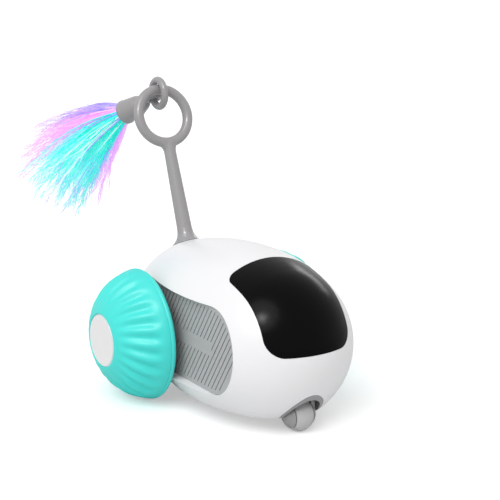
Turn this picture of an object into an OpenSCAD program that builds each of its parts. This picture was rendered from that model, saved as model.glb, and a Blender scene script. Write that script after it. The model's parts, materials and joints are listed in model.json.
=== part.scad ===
// Robotic cat toy car: an egg-shaped body on two driven dome wheels and a front caster,
// with a flexible tail that carries a feather lure. Millimetres, +Z up, front towards -Y,
// origin on the floor midway between the driven wheels.

/* [Body] */
// Radius of the widest round section of the body
body_r = 36.4; // [36:0.1:38]
// Difference between the widest radius and the radius of the rounded nose
nose_step = 3.1; // [2.4:0.1:5.4]
// Difference between the widest radius and the radius of the rounded rear
rear_step = 5.1; // [3.4:0.1:6.4]
// Distance from the widest section to the tip of the nose
nose_len = 54.1; // [53:0.1:57]
// Distance from the widest section to the rear end
rear_len = 66.1; // [65:0.1:70]
// Height of the body's long axis above the floor
body_axis_z = 31.9; // [31:0.1:33]
// Distance of the widest section in front of the axle
widest_y = 28.8; // [27:0.1:30]
// Height of the flat underside above the lowest point of the body's full round
base_cut = 11.3; // [10.5:0.1:12]
// Steps in which each long flank of the body curves
flank_steps = 8; // [6:1:12]
// Steps in which each round end of the body curves
tip_steps = 20; // [16:1:24]
// Wall thickness of the body shell
wall = 2.2; // [1.8:0.1:2.4]
// Thickness of the bottom cover
cover_t = 2.2; // [1.8:0.1:2.6]
// Distance from the caster's swivel axis to the front edge of the bottom cover
cover_back = 12.3; // [11.8:0.1:13.3]
// Gap between parts that fit into one another
fit_gap = 0.15; // [0.1:0.05:0.2]

/* [Side panels] */
// Outer face of a side panel from the middle of the car
panel_x = 27.8; // [27.4:0.1:28.2]
// Thickness of a side panel
panel_t = 1.4; // [1.2:0.1:1.6]
// Half height of a side panel, and the radius of its round ends
panel_r = 18.3; // [17:0.1:19]
// Height of a side panel's middle
panel_z = 32.8; // [32:0.1:34]
// Centre of the panel's front round end, behind the tip of the nose
panel_back = 35.1; // [33.9:0.1:36.9]
// Centre of the panel's rear round end, behind the axle
panel_rear = 2; // [0:0.1:3]
// Width of a slot in a side panel
slot_w = 0.5; // [0.4:0.1:0.8]
// Spacing of the slots
slot_pitch = 2.8; // [2.2:0.1:3.2]
// Depth of a slot
slot_depth = 0.5; // [0.4:0.1:0.8]
// Lean of the slots towards the front
slot_lean = 35; // [20:1:40]
// Height of the plain band between the two rows of slots
slot_band = 6; // [4:0.5:8]

/* [Visor] */
// Half width of the black visor
visor_half = 19.8; // [19:0.1:20.4]
// Height of the visor's lower edge
visor_low_z = 35.3; // [35:0.1:37]
// Upper edge of the visor, behind the tip of the nose
visor_back = 36.6; // [33.9:0.1:37.9]
// Radius of the visor's lower corners
visor_corner = 7; // [5:0.1:8]
// Radius of the visor's upper corners
visor_tip = 3.8; // [3.2:0.1:6]
// Thickness of the visor
visor_t = 1.2; // [1:0.1:1.3]
// Width of the ledge that the visor rests on
visor_ledge = 2.5; // [2:0.1:3]

/* [Wheels] */
// Diameter of a driven wheel
wheel_d = 56; // [55:0.1:57]
// Depth of a wheel's back face inside the body's widest radius
wheel_in = 4; // [3.4:0.1:4.2]
// Thickness of the lip round a wheel's rim
lip_t = 2.6; // [2.4:0.1:3]
// Height of a wheel's dome from its rim to the hub cap's face
dome_h = 18.2; // [17:0.1:19.5]
// Radius of the arc across a wheel's dome
dome_r = 24; // [22:0.1:28]
// Wall thickness of a wheel's dome
dome_wall = 2; // [1.8:0.1:2.2]
// Height of the seam step between rim lip and dome
seam_step = 0.3; // [0.2:0.1:0.5]
// Diameter of a hub cap
hub_d = 23.2; // [22:0.1:24]
// Thickness of a hub cap
hub_t = 1.6; // [1.4:0.1:2]
// Number of soft flutes round a dome
flute_n = 24; // [18:1:26]
// Depth of a flute at the rim
flute_depth = 1.2; // [0.5:0.1:1.3]
// Steps round each flute
flute_steps = 3; // [3:1:4]
// Steps along the dome from the hub to the rim
dome_steps = 8; // [6:1:10]
// Swirl of the flutes round the dome
flute_swirl = 14; // [0:1:18]
// Thickness of a wheel's dark back disc
back_t = 1.6; // [1.4:0.1:1.8]
// Diameter of the hub tube inside a wheel
hub_tube_d = 8; // [7:0.1:9]

/* [Drive] */
// Diameter of an axle
axle_d = 3; // [2.5:0.1:3.2]
// Radial running clearance of axles, pins and stems
run_gap = 0.05; // [0.03:0.01:0.08]
// Module of the gear teeth
gear_m = 0.5; // [0.5:0.01:0.52]
// Teeth of the final gear on an axle
final_teeth = 40; // [40:1:41]
// Teeth of the small wheel of a compound gear
small_teeth = 10; // [10:1:11]
// Teeth of the large wheel of a compound gear
large_teeth = 36; // [35:1:36]
// Teeth of a motor pinion
pinion_teeth = 9; // [9:1:10]
// Face width of a gear
gear_face = 2.2; // [1.8:0.1:2.3]
// Side play beside a gear
gear_play = 0.5; // [0.4:0.1:0.6]
// Thickness of the gear frame's middle wall
mid_wall = 4; // [3.6:0.1:4.2]
// Thickness of the gear frame's side plates
side_plate = 1.8; // [1.5:0.1:2]
// Diameter of the pin that carries a compound gear
gear_pin_d = 1.6; // [1.4:0.1:1.8]
// Climb of the line from axle to compound gear
stage_rise = 20; // [18:1:22]
// Fall of the line from compound gear to motor
motor_fall = 25; // [23:1:27]
// Diameter of a motor's can
motor_d = 12; // [11.5:0.1:12.5]
// Height across the flats of a motor's can
motor_flat = 10; // [9.5:0.1:10.5]
// Length of a motor's can
motor_len = 12.6; // [12:0.1:13]
// Diameter of a motor's shaft
motor_shaft_d = 1; // [0.8:0.1:1.2]
// Height of the gear frame's walls above the floor
frame_top = 44; // [43:0.1:45]
// Thickness of the gear frame's base plate
frame_base = 2; // [1.8:0.1:2.4]

/* [Caster] */
// Distance of the caster's swivel axis behind the tip of the nose
caster_back = 12.6; // [11.9:0.1:12.9]
// Radius of the caster housing
housing_r = 9.3; // [9.2:0.1:10]
// Wall of the caster housing
housing_wall = 1.2; // [1:0.1:1.3]
// Height of the underside of the housing's roof
housing_roof_z = 18.4; // [18.2:0.1:18.8]
// Height of the housing's outer wall above its roof
housing_crest = 1.4; // [1.2:0.1:1.6]
// Diameter of the caster's roller
roller_d = 13.6; // [13:0.1:14]
// Width of the caster's roller
roller_w = 8; // [7.6:0.1:8.2]
// Trail of the roller behind the swivel axis
caster_trail = 0.8; // [0.5:0.1:0.9]
// Diameter of a fork leg's domed end
leg_d = 10; // [9.6:0.1:10.2]
// Height of a fork leg's dome
leg_t = 2.8; // [2.6:0.1:3]
// Width of a fork leg above its dome
strut_w = 5; // [4.6:0.1:5.4]
// Thickness of a fork leg above its dome
strut_t = 1.8; // [1.6:0.1:1.9]
// Diameter of the caster's stem
stem_d = 4; // [3.6:0.1:4.4]
// Diameter of the roller's pin
roller_pin_d = 2; // [1.8:0.1:2.2]

/* [Tail and lure] */
// Distance of the tail's root in front of the rear end
tail_in = 16.8; // [16.3:0.1:17.3]
// Lean of the tail towards the rear
tail_lean = 20.8; // [18:0.1:23]
// Distance from the tail's root to the middle of its ring
tail_len = 57.4; // [56:0.1:60]
// Diameter of the tail at its root
tail_root_d = 6.9; // [6.6:0.1:7.2]
// Diameter of the tail under its ring
tail_tip_d = 5.2; // [5:0.1:5.4]
// Diameter of the flare where the tail meets the body
flare_d = 13.8; // [13:0.1:14.4]
// Height of the flare above the body
flare_h = 6; // [5:0.1:7]
// Diameter of the tail's plug inside the body
plug_d = 6; // [5.8:0.1:6.2]
// Outer diameter of the tail's ring
ring_d = 28.8; // [28:0.1:30]
// Thickness of the tail's ring
ring_t = 4.6; // [4.4:0.1:4.8]
// Outer diameter of the link
link_d = 15; // [14.8:0.1:15.4]
// Thickness of the link
link_t = 3.2; // [3.1:0.1:3.3]
// Thickness of the lure's eye
eye_t = 2.4; // [2.3:0.1:2.5]
// Play between ring, link and eye
chain_gap = 0.3; // [0.25:0.05:0.35]
// Place of the eye round the link, from its bottom towards the rear
eye_place = 62; // [60:1:64]
// Turn of the lure towards the rear at rest
lure_turn = 68; // [66:0.1:70]
// Length of the lure's cap from eye to mouth
cap_len = 18.5; // [18:0.1:20]
// Diameter of the cap's mouth
cap_mouth_d = 11.4; // [11:0.1:12]
// Diameter of the cap at its neck
cap_neck_d = 6.2; // [6:0.1:6.6]
// Depth of the cap's mouth
mouth_depth = 4; // [3.5:0.1:4.2]
// Length of the longest feather strands
strand_len = 47; // [42:1:49]
// Droop of the longest strands at their tips
strand_droop = 13; // [6:1:16]
// Half angle of the feather fan
fan_half = 33; // [31:1:35]

/* [Electrics] */
// Room between the battery and the front posts beside it
battery_side = 1.7; // [1.2:0.1:3.7]
// Room between the battery's rear fence and the gear frame
battery_rear = 2.9; // [2.4:0.1:4.9]
// Height of the battery
battery_h = 8; // [6:0.5:9]
// Thickness of the circuit boards
board_t = 1.2; // [1:0.1:1.6]
// Width of the main board
main_w = 32; // [28:0.5:34]
// Length of the main board
main_l = 42; // [38:0.5:43]
// Width of the charging port
port_w = 9; // [8.8:0.1:9.4]
// Height of the charging port
port_h = 3.2; // [3:0.1:3.4]
// Depth of the charging port below the middle of the rear board
port_drop = 10; // [9.5:0.1:10.5]
// Diameter of the power button
button_d = 6.4; // [6:0.1:7]
// Travel of the power button
button_travel = 0.8; // [0.6:0.1:0.9]
// Diameter of an infrared lamp
led_d = 4; // [3:0.5:5]

/* [Screws] */
// Diameter of the screws
screw_d = 2; // [1.6:0.1:2.2]
// Diameter of the screw heads
head_d = 3.6; // [3.4:0.1:4]
// Height of the screw heads
head_h = 1.2; // [1:0.1:1.4]
// Width of the cross recess in a screw head
drive_w = 0.5; // [0.4:0.1:0.6]

/* [Hidden] */
$fn = 64;
e = 0.01;
big = 200;
wheel_r = wheel_d / 2;
axle_z = wheel_r;
base_z = body_axis_z - body_r + base_cut;
nose_r = body_r - nose_step;
rear_r = body_r - rear_step;
nose_tip = widest_y + nose_len;
nose_mid = nose_len - nose_r;
rear_mid = rear_len - rear_r;
nose_flank = (nose_mid * nose_mid + body_r * body_r - nose_r * nose_r) / (2 * (body_r - nose_r));
rear_flank = (rear_mid * rear_mid + body_r * body_r - rear_r * rear_r) / (2 * (body_r - rear_r));
rear_y = rear_len - widest_y;
caster_y = nose_tip - caster_back;
cover_front = caster_y - cover_back;
panel_front = nose_tip - panel_back;
visor_top = nose_tip - visor_back;
tail_y = rear_y - tail_in;
wheel_back_x = body_r - wheel_in;
wheel_rim_x = wheel_back_x + lip_t;
wheel_face_x = wheel_rim_x + dome_h;
inner_x = panel_x - panel_t - wall;
cover_top = base_z + cover_t;
// Height of the rear end's sphere above a place on the long axis
function rear_round(y) = sqrt(pow(rear_r, 2) - pow(y - (rear_mid - widest_y), 2));
GREY = [0.6, 0.6, 0.6];
TEAL = [0.35, 0.93, 0.89];

// Builds on the car's left, or mirrored on its right
module on_side(right) {
    mirror([right ? 1 : 0, 0, 0]) children();
}

// Lays a shape drawn flat across the car: its X runs rearwards, its Y up and its Z sideways
module across(x = 0) {
    translate([x, 0, 0]) rotate([90, 0, 90]) children();
}

// Points of one end of the body's outline, from its widest section to the start of its round tip
function flank(mid, flank_r, inset) = [
    for (i = [0:flank_steps])
        let (drop = flank_r - body_r, turn = atan2(mid, drop) * i / flank_steps)
        [(flank_r - inset) * cos(turn) - drop, (flank_r - inset) * sin(turn)]
];

// Points of a round tip, from the end of the flank to the axis
function tip(mid, tip_r, flank_r, inset) = [
    for (i = [1:tip_steps])
        let (start = atan2(mid, flank_r - body_r), turn = start + (90 - start) * i / tip_steps)
        [(tip_r - inset) * cos(turn), mid + (tip_r - inset) * sin(turn)]
];

// Egg of revolution, drawn in by an inset, its seam underneath
module egg(inset = 0) {
    rear = concat(flank(rear_mid, rear_flank, inset), tip(rear_mid, rear_r, rear_flank, inset));
    nose = concat(flank(nose_mid, nose_flank, inset), tip(nose_mid, nose_r, nose_flank, inset));
    front = [for (i = [len(nose) - 1:-1:1]) [nose[i][0], -nose[i][1]]];
    translate([0, -widest_y, body_axis_z]) rotate([-90, 0, 0]) rotate(90)
        rotate_extrude() polygon(concat(front, rear));
}

// Ball that forms the body's rear end, grown by a gap
module rear_ball(grow) {
    translate([0, rear_mid - widest_y, body_axis_z]) sphere(r = rear_r + grow);
}

// Round-ended side panel outline, grown by a margin
module panel_outline(grow = 0) {
    for (y = [-panel_front, panel_rear]) translate([y, panel_z]) circle(r = panel_r + grow);
    translate([-panel_front, panel_z - panel_r - grow])
        square([panel_front + panel_rear, 2 * (panel_r + grow)]);
}

// Space of a visor of the given half width, lower edge and upper edge
module visor_block(grow) {
    half = visor_half + grow;
    low = visor_low_z - grow;
    back = -visor_top + grow;
    r = visor_corner + grow;
    tip_r = visor_tip + grow;
    intersection() {
        rotate([90, 0, 0]) linear_extrude(big) {
            translate([-half, low + r]) square([2 * half, big]);
            translate([-half + r, low]) square([2 * (half - r), r + e]);
            for (s = [-1, 1]) translate([s * (half - r), low + r]) circle(r = r);
        }
        linear_extrude(big) {
            translate([-half, back - tip_r - big]) square([2 * half, big]);
            translate([-half + tip_r, back - tip_r - e]) square([2 * (half - tip_r), tip_r + e]);
            for (s = [-1, 1]) translate([s * (half - tip_r), back - tip_r]) circle(r = tip_r);
        }
    }
}

module box(x, y, z) {
    translate([x[0], y[0], z[0]]) cube([x[1] - x[0], y[1] - y[0], z[1] - z[0]]);
}

// A screw with its head's underside at the origin, its shank along +Z
module screw(length) {
    cylinder(d = screw_d, h = length);
    translate([0, 0, -head_h]) difference() {
        cylinder(d = head_d, h = head_h);
        for (a = [0, 90]) rotate(a)
            translate([-head_d / 3, -drive_w / 2, -e]) cube([head_d / 1.5, drive_w, head_h / 2]);
    }
}

// Body

boss_d = 5.6;
boss_h = 11;
boss_top = cover_top + boss_h;
boss_edge = 0.8;
boss_rib = 1.6;
boss_front = 8;
boss_rear = 2;

// Half width of the body's hollow at a place along it, level with the underside
function hollow_half(y) =
    let (u = y + widest_y, flank_r = u < 0 ? nose_flank : rear_flank,
         round_r = sqrt(flank_r * flank_r - u * u) - flank_r + body_r - wall)
    sqrt(round_r * round_r - pow(body_axis_z - base_z, 2));

// Places of the screws that hold the bottom cover
cover_screw_at = [for (y = [boss_front - cover_front, boss_rear], s = [-1, 1])
    [s * (hollow_half(y) - head_d / 2 - 2 * fit_gap - boss_edge), y]];
boss_cap = 2;
cover_screw_len = 8;
rear_screw_in = 3.6;
plug_hole = 40;
sensor_back = 17.9;
rib_y = sensor_back - nose_tip;
rib_t = 2;
rib_x = 17;
rib_half = 6;
sensor_z = 42;
rear_board_in = 9.1;
rear_board_y = rear_y - rear_board_in;
rear_boss_at = [-6.2, 6.2];
rear_boss_d = 4;
button_hole_r = button_d / 2 + run_gap * 2;
tail_dir = [0, sin(tail_lean), cos(tail_lean)];
tail_root = [0, tail_y, body_axis_z + rear_round(tail_y)];

// Turns a shape drawn along +Z to lie along the tail, from the tail's root
module along_tail() {
    translate(tail_root) rotate([-tail_lean, 0, 0]) children();
}

module body_shell() {
    color("white") difference() {
        union() {
            difference() {
                intersection() {
                    egg();
                    box([-big, big], [-big, big], [base_z, big]);
                }
                intersection() {
                    egg(wall);
                    box([-inner_x, inner_x], [-big, big], [-big, big]);
                }
            }
            // floor in front of the bottom cover, and posts for the cover's screws
            intersection() {
                egg(wall / 2);
                union() {
                    box([-big, big], [-big, -cover_front - fit_gap], [base_z, base_z + wall]);
                    for (p = cover_screw_at) {
                        translate([p[0], p[1], cover_top]) cylinder(d = boss_d, h = boss_top - cover_top);
                        mirror([p[0] < 0 ? 1 : 0, 0, 0])
                            translate([abs(p[0]), p[1] - boss_rib / 2, cover_top])
                                cube([big, boss_rib, boss_top - cover_top]);
                    }
                    for (right = [false, true]) on_side(right)
                        box([rib_x, big], [rib_y, rib_y + rib_t], [sensor_z - rib_half, sensor_z + rib_half]);
                    for (x = rear_boss_at)
                        translate([x, rear_board_y, body_axis_z]) rotate([-90, 0, 0])
                            cylinder(d = rear_boss_d, h = big);
                }
            }
        }
        // side pockets, axle holes and the seat of the visor
        for (right = [false, true]) on_side(right) {
            across(panel_x - panel_t) linear_extrude(big) panel_outline(fit_gap);
            translate([0, 0, axle_z]) rotate([0, 90, 0]) cylinder(d = bush_d, h = big);
        }
        difference() {
            visor_block(fit_gap);
            egg(visor_t + fit_gap);
        }
        visor_block(-visor_ledge);
        // caster opening, tail hole, button hole, port slot and screw holes
        translate([0, -caster_y, 0])
            cylinder(r = housing_r + fit_gap, h = housing_top + fit_gap);
        along_tail() cylinder(d = plug_d + 2 * run_gap, h = plug_hole, center = true);
        translate([0, 0, body_axis_z]) rotate([-90, 0, 0]) cylinder(r = button_hole_r, h = big);
        translate([0, rear_y / 2, body_axis_z - port_drop]) port_shape(fit_gap, big);
        for (p = cover_screw_at) translate([p[0], p[1], 0]) cylinder(d = screw_d, h = boss_top - boss_cap);
        for (x = rear_boss_at)
            translate([x, 0, body_axis_z]) rotate([-90, 0, 0])
                cylinder(d = screw_d, h = rear_board_y + rear_screw_in + fit_gap);
    }
}

// Cover of the flat underside, with posts for the gear frame and walls round the battery
frame_screw_x = 6.4;
frame_screw_in = 7.7;
frame_screw_front = -32;
frame_screw_rear = rear_mid - widest_y - frame_screw_in
    + sqrt(pow(rear_r - wall, 2) - pow(body_axis_z - base_z, 2));
frame_screw_at = [for (y = [frame_screw_front, frame_screw_rear], s = [-1, 1]) [s * frame_screw_x, y]];
fence_t = 1.4;
fence_h = 4;
fence_in = 1;
battery_y = -cover_front + fence_in + fence_t + fit_gap;
module bottom_cover() {
    color("white") difference() {
        union() {
            intersection() {
                egg(wall + fit_gap);
                box([-inner_x + fit_gap, inner_x - fit_gap], [-cover_front, big], [base_z, cover_top]);
            }
            for (y = [battery_y - fit_gap - fence_t, battery_y + battery_l + fit_gap])
                box([-battery_w / 2, battery_w / 2], [y, y + fence_t], [base_z, cover_top + fence_h]);
        }
        for (p = concat(cover_screw_at, frame_screw_at)) translate([p[0], p[1], 0]) {
            cylinder(d = screw_d + 2 * fit_gap, h = big);
            cylinder(d = head_d + 2 * fit_gap, h = base_z + head_h);
        }
    }
}

module cover_screws() {
    color("silver") for (p = cover_screw_at) translate([p[0], p[1], base_z + head_h]) screw(cover_screw_len);
}

module frame_screws() {
    color("silver") for (p = frame_screw_at)
        translate([p[0], p[1], base_z + head_h]) screw(cover_top - base_z - head_h + frame_base);
}

module visor() {
    color([0.03, 0.03, 0.03]) intersection() {
        difference() {
            egg();
            egg(visor_t);
        }
        visor_block(0);
    }
}

// Side panels

panel_border = 1.7;

// Leaning slots of a side panel, with a plain band between them behind the front round end
module panel_slots() {
    middle = (panel_rear - panel_front) / 2;
    count = floor((middle + panel_front + panel_r) / slot_pitch);
    difference() {
        intersection() {
            panel_outline(-panel_border);
            for (i = [-count:count]) translate([middle + i * slot_pitch, panel_z]) rotate(slot_lean)
                square([slot_w, 4 * panel_r], center = true);
        }
        translate([-panel_front, panel_z - slot_band / 2]) square([big, slot_band]);
    }
}

module side_panel(right) {
    color(GREY) on_side(right) difference() {
        across(panel_x - panel_t) linear_extrude(panel_t) panel_outline();
        across(panel_x - slot_depth) linear_extrude(big) panel_slots();
        translate([0, 0, axle_z]) rotate([0, 90, 0]) cylinder(d = bush_flange_d + 2 * fit_gap, h = big);
    }
}

// Drive

gear_in = mid_wall / 2 + gear_play;
gear_out = gear_in + gear_face + gear_play;
plate_x = gear_out + gear_face + gear_play;
motor_x = plate_x + side_plate;
stage_gap = gear_m * (final_teeth + small_teeth) / 2;
motor_gap = gear_m * (large_teeth + pinion_teeth) / 2;
stage_way = 180 - stage_rise;
motor_way = 180 + motor_fall;
stage_at = [stage_gap * cos(stage_way), axle_z + stage_gap * sin(stage_way)];
motor_at = stage_at + motor_gap * [cos(motor_way), sin(motor_way)];
motor_boss = 0.8;
bush_d = 5.6;
bush_flange_d = 7.4;
tooth_head = 0.65;
tooth_root = 1;
backlash = 0.1;
pressure = 20;

// Half angle of a tooth at radius r
function tooth_half(r, pitch_r, base_r) =
    let (at = acos(min(1, base_r / r)))
    (PI * gear_m / 2 - backlash) / 2 / pitch_r * 180 / PI
    + (tan(pressure) * 180 / PI - pressure) - (tan(at) * 180 / PI - at);

// Outline of a spur gear with a tooth centred on the angle phase
module gear_outline(teeth, phase) {
    pitch_r = gear_m * teeth / 2;
    base_r = pitch_r * cos(pressure);
    tip_r = pitch_r + gear_m * tooth_head;
    root_r = pitch_r - gear_m * tooth_root;
    start = max(base_r, root_r);
    rise = [for (k = [0:3]) start + (tip_r - start) * k / 3];
    flank = concat([root_r], rise);
    polygon([for (i = [0:teeth - 1], s = [-1, 1], k = [0:len(flank) - 1])
        let (r = s < 0 ? flank[k] : flank[len(flank) - 1 - k],
             a = phase + i * 360 / teeth + s * tooth_half(max(r, start), pitch_r, base_r))
        r * [cos(a), sin(a)]]);
}

module gear(teeth, phase, bore_d) {
    linear_extrude(gear_face) difference() {
        gear_outline(teeth, phase);
        circle(d = bore_d);
    }
}

// Carries a shape to a place given as distance behind the axle and height
module at_place(p, x) {
    across(x) translate(p) children();
}

module final_gear(right) {
    color("ivory") on_side(right) at_place([0, axle_z], gear_in) gear(final_teeth, stage_way, axle_d);
}

module compound_gear(right) {
    bore = gear_pin_d + 2 * run_gap;
    color("ivory") on_side(right) {
        at_place(stage_at, gear_in) gear(small_teeth, stage_way + 180 + 180 / small_teeth, bore);
        at_place(stage_at, gear_out) gear(large_teeth, motor_way, bore);
        at_place(stage_at, gear_in + gear_face) linear_extrude(gear_play) difference() {
            circle(d = gear_m * (small_teeth - 3));
            circle(d = bore);
        }
    }
}

module motor_pinion(right) {
    color("goldenrod") on_side(right) {
        at_place(motor_at, gear_out) linear_extrude(gear_face)
            gear_outline(pinion_teeth, motor_way + 180 + 180 / pinion_teeth);
        at_place(motor_at, gear_out) cylinder(d = motor_shaft_d, h = motor_x - gear_out + motor_len / 2);
    }
}

module gear_pins() {
    color("silver") for (right = [false, true]) on_side(right)
        at_place(stage_at, mid_wall / 4) cylinder(d = gear_pin_d, h = motor_x - mid_wall / 4);
}

module motor(right) {
    color("silver") on_side(right) at_place(motor_at, motor_x) difference() {
        union() {
            linear_extrude(motor_len) intersection() {
                circle(d = motor_d);
                square([motor_d, motor_flat], center = true);
            }
            translate([0, 0, motor_len]) cylinder(d = motor_d / 3, h = motor_boss);
        }
        translate([0, 0, -e]) cylinder(d = motor_shaft_d + 2 * run_gap, h = motor_len * 0.75);
    }
}

// Frame of the gear train: base, middle wall, two side plates and motor rests
frame_lead = 4;
frame_trail = 3;
frame_front = frame_screw_front - frame_lead;
frame_rear = frame_screw_rear + frame_trail;
frame_wall_rear = 8;
rest_t = 1.6;
rest_half = 4;
module gear_frame() {
    rest_x = motor_x + motor_len - 1.5 * rest_t;
    rest_y = [motor_at[0] - rest_half, motor_at[0] + rest_half];
    wall_front = motor_at[0] - motor_d / 2;
    wall_low = axle_z - gear_m * final_teeth / 2 - 3;
    color([0.25, 0.25, 0.27]) difference() {
        union() {
            box([-motor_x, motor_x], [frame_front, frame_rear], [cover_top, cover_top + frame_base]);
            box([-mid_wall / 2, mid_wall / 2], [wall_front, frame_wall_rear], [cover_top, frame_top]);
            for (right = [false, true]) on_side(right) {
                box([plate_x, motor_x], [wall_front, frame_wall_rear], [cover_top, frame_top]);
                box([plate_x, rest_x + rest_t], rest_y, [cover_top, cover_top + frame_base]);
                box([rest_x, rest_x + rest_t], rest_y, [cover_top, motor_at[1] - motor_flat / 2]);
            }
        }
        for (right = [false, true]) on_side(right) {
            at_place([0, axle_z], mid_wall / 4) cylinder(d = axle_d + 2 * run_gap, h = big);
            at_place(stage_at, mid_wall / 4) cylinder(d = gear_pin_d, h = big);
            at_place(motor_at, mid_wall) cylinder(d = motor_d / 2, h = motor_x - mid_wall + e);
        }
        for (p = frame_screw_at)
            translate([p[0], p[1], 0]) cylinder(d = screw_d, h = cover_top + frame_base + 1);
        for (y = main_screw_y) translate([0, y, frame_top - 6]) cylinder(d = screw_d, h = big);
    }
}

axle_in = mid_wall / 4 + 0.1;
axle_out = wheel_back_x + 10;
axle_bore = 6;
module axle(right) {
    color("silver") on_side(right) at_place([0, axle_z], axle_in) difference() {
        cylinder(d = axle_d, h = axle_out - axle_in);
        translate([0, 0, axle_out - axle_in - axle_bore]) cylinder(d = wheel_screw_d, h = axle_bore + e);
    }
}

module axle_bushes() {
    color("goldenrod") for (right = [false, true]) on_side(right) difference() {
        union() {
            at_place([0, axle_z], inner_x - 1) cylinder(d = bush_d, h = panel_x - inner_x + 1);
            at_place([0, axle_z], panel_x - panel_t) cylinder(d = bush_flange_d, h = panel_t);
        }
        at_place([0, axle_z], 0) cylinder(d = axle_d + 2 * run_gap, h = big);
    }
}

// Wheels, drawn as half outlines: X is the radius, Y the distance from the middle of the car

wheel_screw_d = 1.6;
rim_r = wheel_r - seam_step;
hub_r = hub_d / 2;
chord = [hub_r - rim_r, wheel_face_x - wheel_rim_x];
chord_len = norm(chord);
chord_mid = [rim_r, wheel_rim_x] + chord / 2;
dome_sag = sqrt(dome_r * dome_r - chord_len * chord_len / 4);
dome_mid = chord_mid + dome_sag * [-chord[1], chord[0]] / chord_len;
lip_r = lip_t / 2;
lip_turns = [60, 30, 0, -45, -90];
inner_steps = 5;
hub_seat = wheel_face_x - hub_t;
screw_seat = axle_out + 2.4;

// Turns a half outline round the wheel's axle
module wheel_turn(right) {
    on_side(right) translate([0, 0, axle_z]) rotate([0, 90, 0]) rotate_extrude($fn = 128) children();
}

// Place on the dome's arc, turned from the axle's direction
function on_dome(turn, r) = dome_mid + r * [sin(turn), cos(turn)];
inner_r = dome_r - dome_wall;
back_hole_r = wheel_r - 2 * lip_r;
tube_hole_r = hub_tube_d / 2 + fit_gap;
dome_from = atan2(hub_r - dome_mid[0], wheel_face_x - dome_mid[1]);
dome_to = atan2(rim_r - dome_mid[0], wheel_rim_x - dome_mid[1]);
inner_from = asin((back_hole_r - dome_mid[0]) / inner_r);
inner_to = acos((hub_seat - dome_wall - dome_mid[1]) / inner_r);

// Outline of a wheel's wall as radius and distance sideways, with the flutes cut to a share of their depth
function wheel_outline(cut) = concat(
    [[tube_hole_r, hub_seat], [hub_r - seam_step, hub_seat], [hub_r - seam_step, wheel_face_x]],
    [
        for (i = [0:dome_steps])
            let (way = i / dome_steps)
            on_dome(dome_from + (dome_to - dome_from) * way, dome_r - flute_depth * cut * sin(180 * way))
    ],
    [for (turn = lip_turns) [wheel_r - lip_r, wheel_back_x + lip_r] + lip_r * [cos(turn), sin(turn)]],
    [[back_hole_r, wheel_back_x]],
    [for (i = [0:inner_steps]) on_dome(inner_from + (inner_to - inner_from) * i / inner_steps, inner_r)],
    [[tube_hole_r, hub_seat - dome_wall]]
);

// Fluted dome of a wheel, one closed skin turned round the axle
module wheel(right) {
    turns = flute_n * flute_steps;
    points = [
        for (j = [0:turns - 1])
            for (p = wheel_outline((1 - cos(360 * j / flute_steps)) / 2))
                let (a = 360 * j / turns - flute_swirl * (1 - p[0] / wheel_r))
                [p[1], p[0] * sin(a), axle_z - p[0] * cos(a)]
    ];
    n = len(wheel_outline(0));
    faces = [
        for (j = [0:turns - 1])
            for (i = [0:n - 1])
                let (k = (j + 1) % turns, m = (i + 1) % n)
                for (f = [[j * n + i, j * n + m, k * n + m], [j * n + i, k * n + m, k * n + i]])
                    f
    ];
    color(TEAL) on_side(right) polyhedron(points, faces);
}

// Dark disc that closes a wheel's back, with the tube that grips the axle
module wheel_back(right) {
    color([0.16, 0.17, 0.18]) wheel_turn(right) difference() {
        union() {
            translate([0, wheel_back_x]) square([wheel_r - 2 * lip_r - fit_gap, back_t]);
            translate([0, wheel_back_x]) square([hub_tube_d / 2, hub_seat - wheel_back_x - 0.2]);
        }
        translate([0, wheel_back_x - e]) square([axle_d / 2, axle_out - wheel_back_x + e]);
        square([wheel_screw_d / 2 + fit_gap, big]);
        translate([0, screw_seat]) square([head_d / 2 + fit_gap, big]);
    }
}

module hub_cap(right) {
    color([0.97, 0.94, 0.95]) wheel_turn(right) difference() {
        translate([0, hub_seat]) square([hub_r - seam_step - fit_gap, hub_t]);
        translate([hub_r - seam_step - fit_gap, wheel_face_x]) circle(r = 0.4, $fn = 32);
    }
}

module wheel_screw(right) {
    color("silver") on_side(right) at_place([0, axle_z], screw_seat) {
        cylinder(d = head_d, h = head_h);
        translate([0, 0, 1 - axle_bore + axle_out - screw_seat])
            cylinder(d = wheel_screw_d, h = screw_seat + axle_bore - 1 - axle_out);
    }
}

// Caster

roller_z = roller_d / 2;
roller_y = -caster_y + caster_trail;
fork_top = housing_roof_z - 0.4;
fork_r = housing_r - housing_wall - 0.4;
leg_in = roller_w / 2 + 0.4;
roof_top = housing_roof_z + housing_wall;
housing_top = roof_top + housing_crest;
stem_top = roof_top + 0.3;
pin_cover = 0.8;
pin_len = 2 * (leg_in + leg_t - pin_cover);
roller_lip = 0.2;
crown_t = 2.4;
stem_bore = 5;
washer_t = 0.8;

module caster_housing() {
    color([0.5, 0.5, 0.5]) difference() {
        intersection() {
            egg();
            translate([0, -caster_y, base_z])
                cylinder(r = housing_r, h = housing_top - base_z);
        }
        translate([0, -caster_y, roof_top]) cylinder(r = housing_r - housing_wall, h = big);
        translate([0, -caster_y, 0]) cylinder(r = housing_r - housing_wall, h = housing_roof_z);
        translate([0, -caster_y, 0]) cylinder(d = stem_d + 2 * run_gap, h = big);
    }
}

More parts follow.
